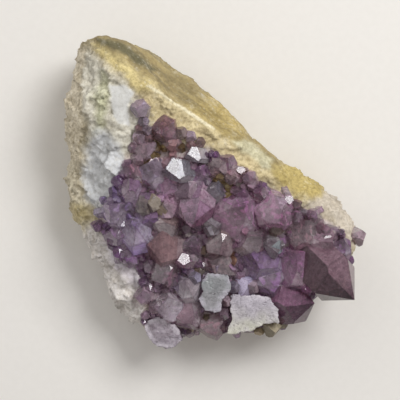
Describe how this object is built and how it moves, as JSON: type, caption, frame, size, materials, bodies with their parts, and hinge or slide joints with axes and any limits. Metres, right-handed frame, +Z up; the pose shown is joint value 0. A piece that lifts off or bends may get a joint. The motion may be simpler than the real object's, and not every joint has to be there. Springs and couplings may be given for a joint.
{
  "type": "amethyst cluster",
  "caption": "Hand-sized chunk of ochre and grey host rock with a field of intergrown purple quartz crystals on its upper face, lying on its flat underside.",
  "frame": {"origin": "middle of the bottom of the whole piece's box, on the surface that it lies on", "axes": "+X along the back ridge towards the largest crystal, +Y towards the ochre side face, +Z up"},
  "size_m": [0.0594, 0.0382, 0.0202],
  "materials": {
    "host_rock": "rough broken rock, ochre to pale grey",
    "amethyst": "glassy crystal faces, see-through purple"
  },
  "bodies": {
    "root": {"matrix": "host_rock", "druse": "amethyst", "crystal_far_left": "amethyst", "crystal_by_the_ridge": "amethyst", "crystal_at_the_right_edge": "amethyst"}
  },
  "joints": []
}
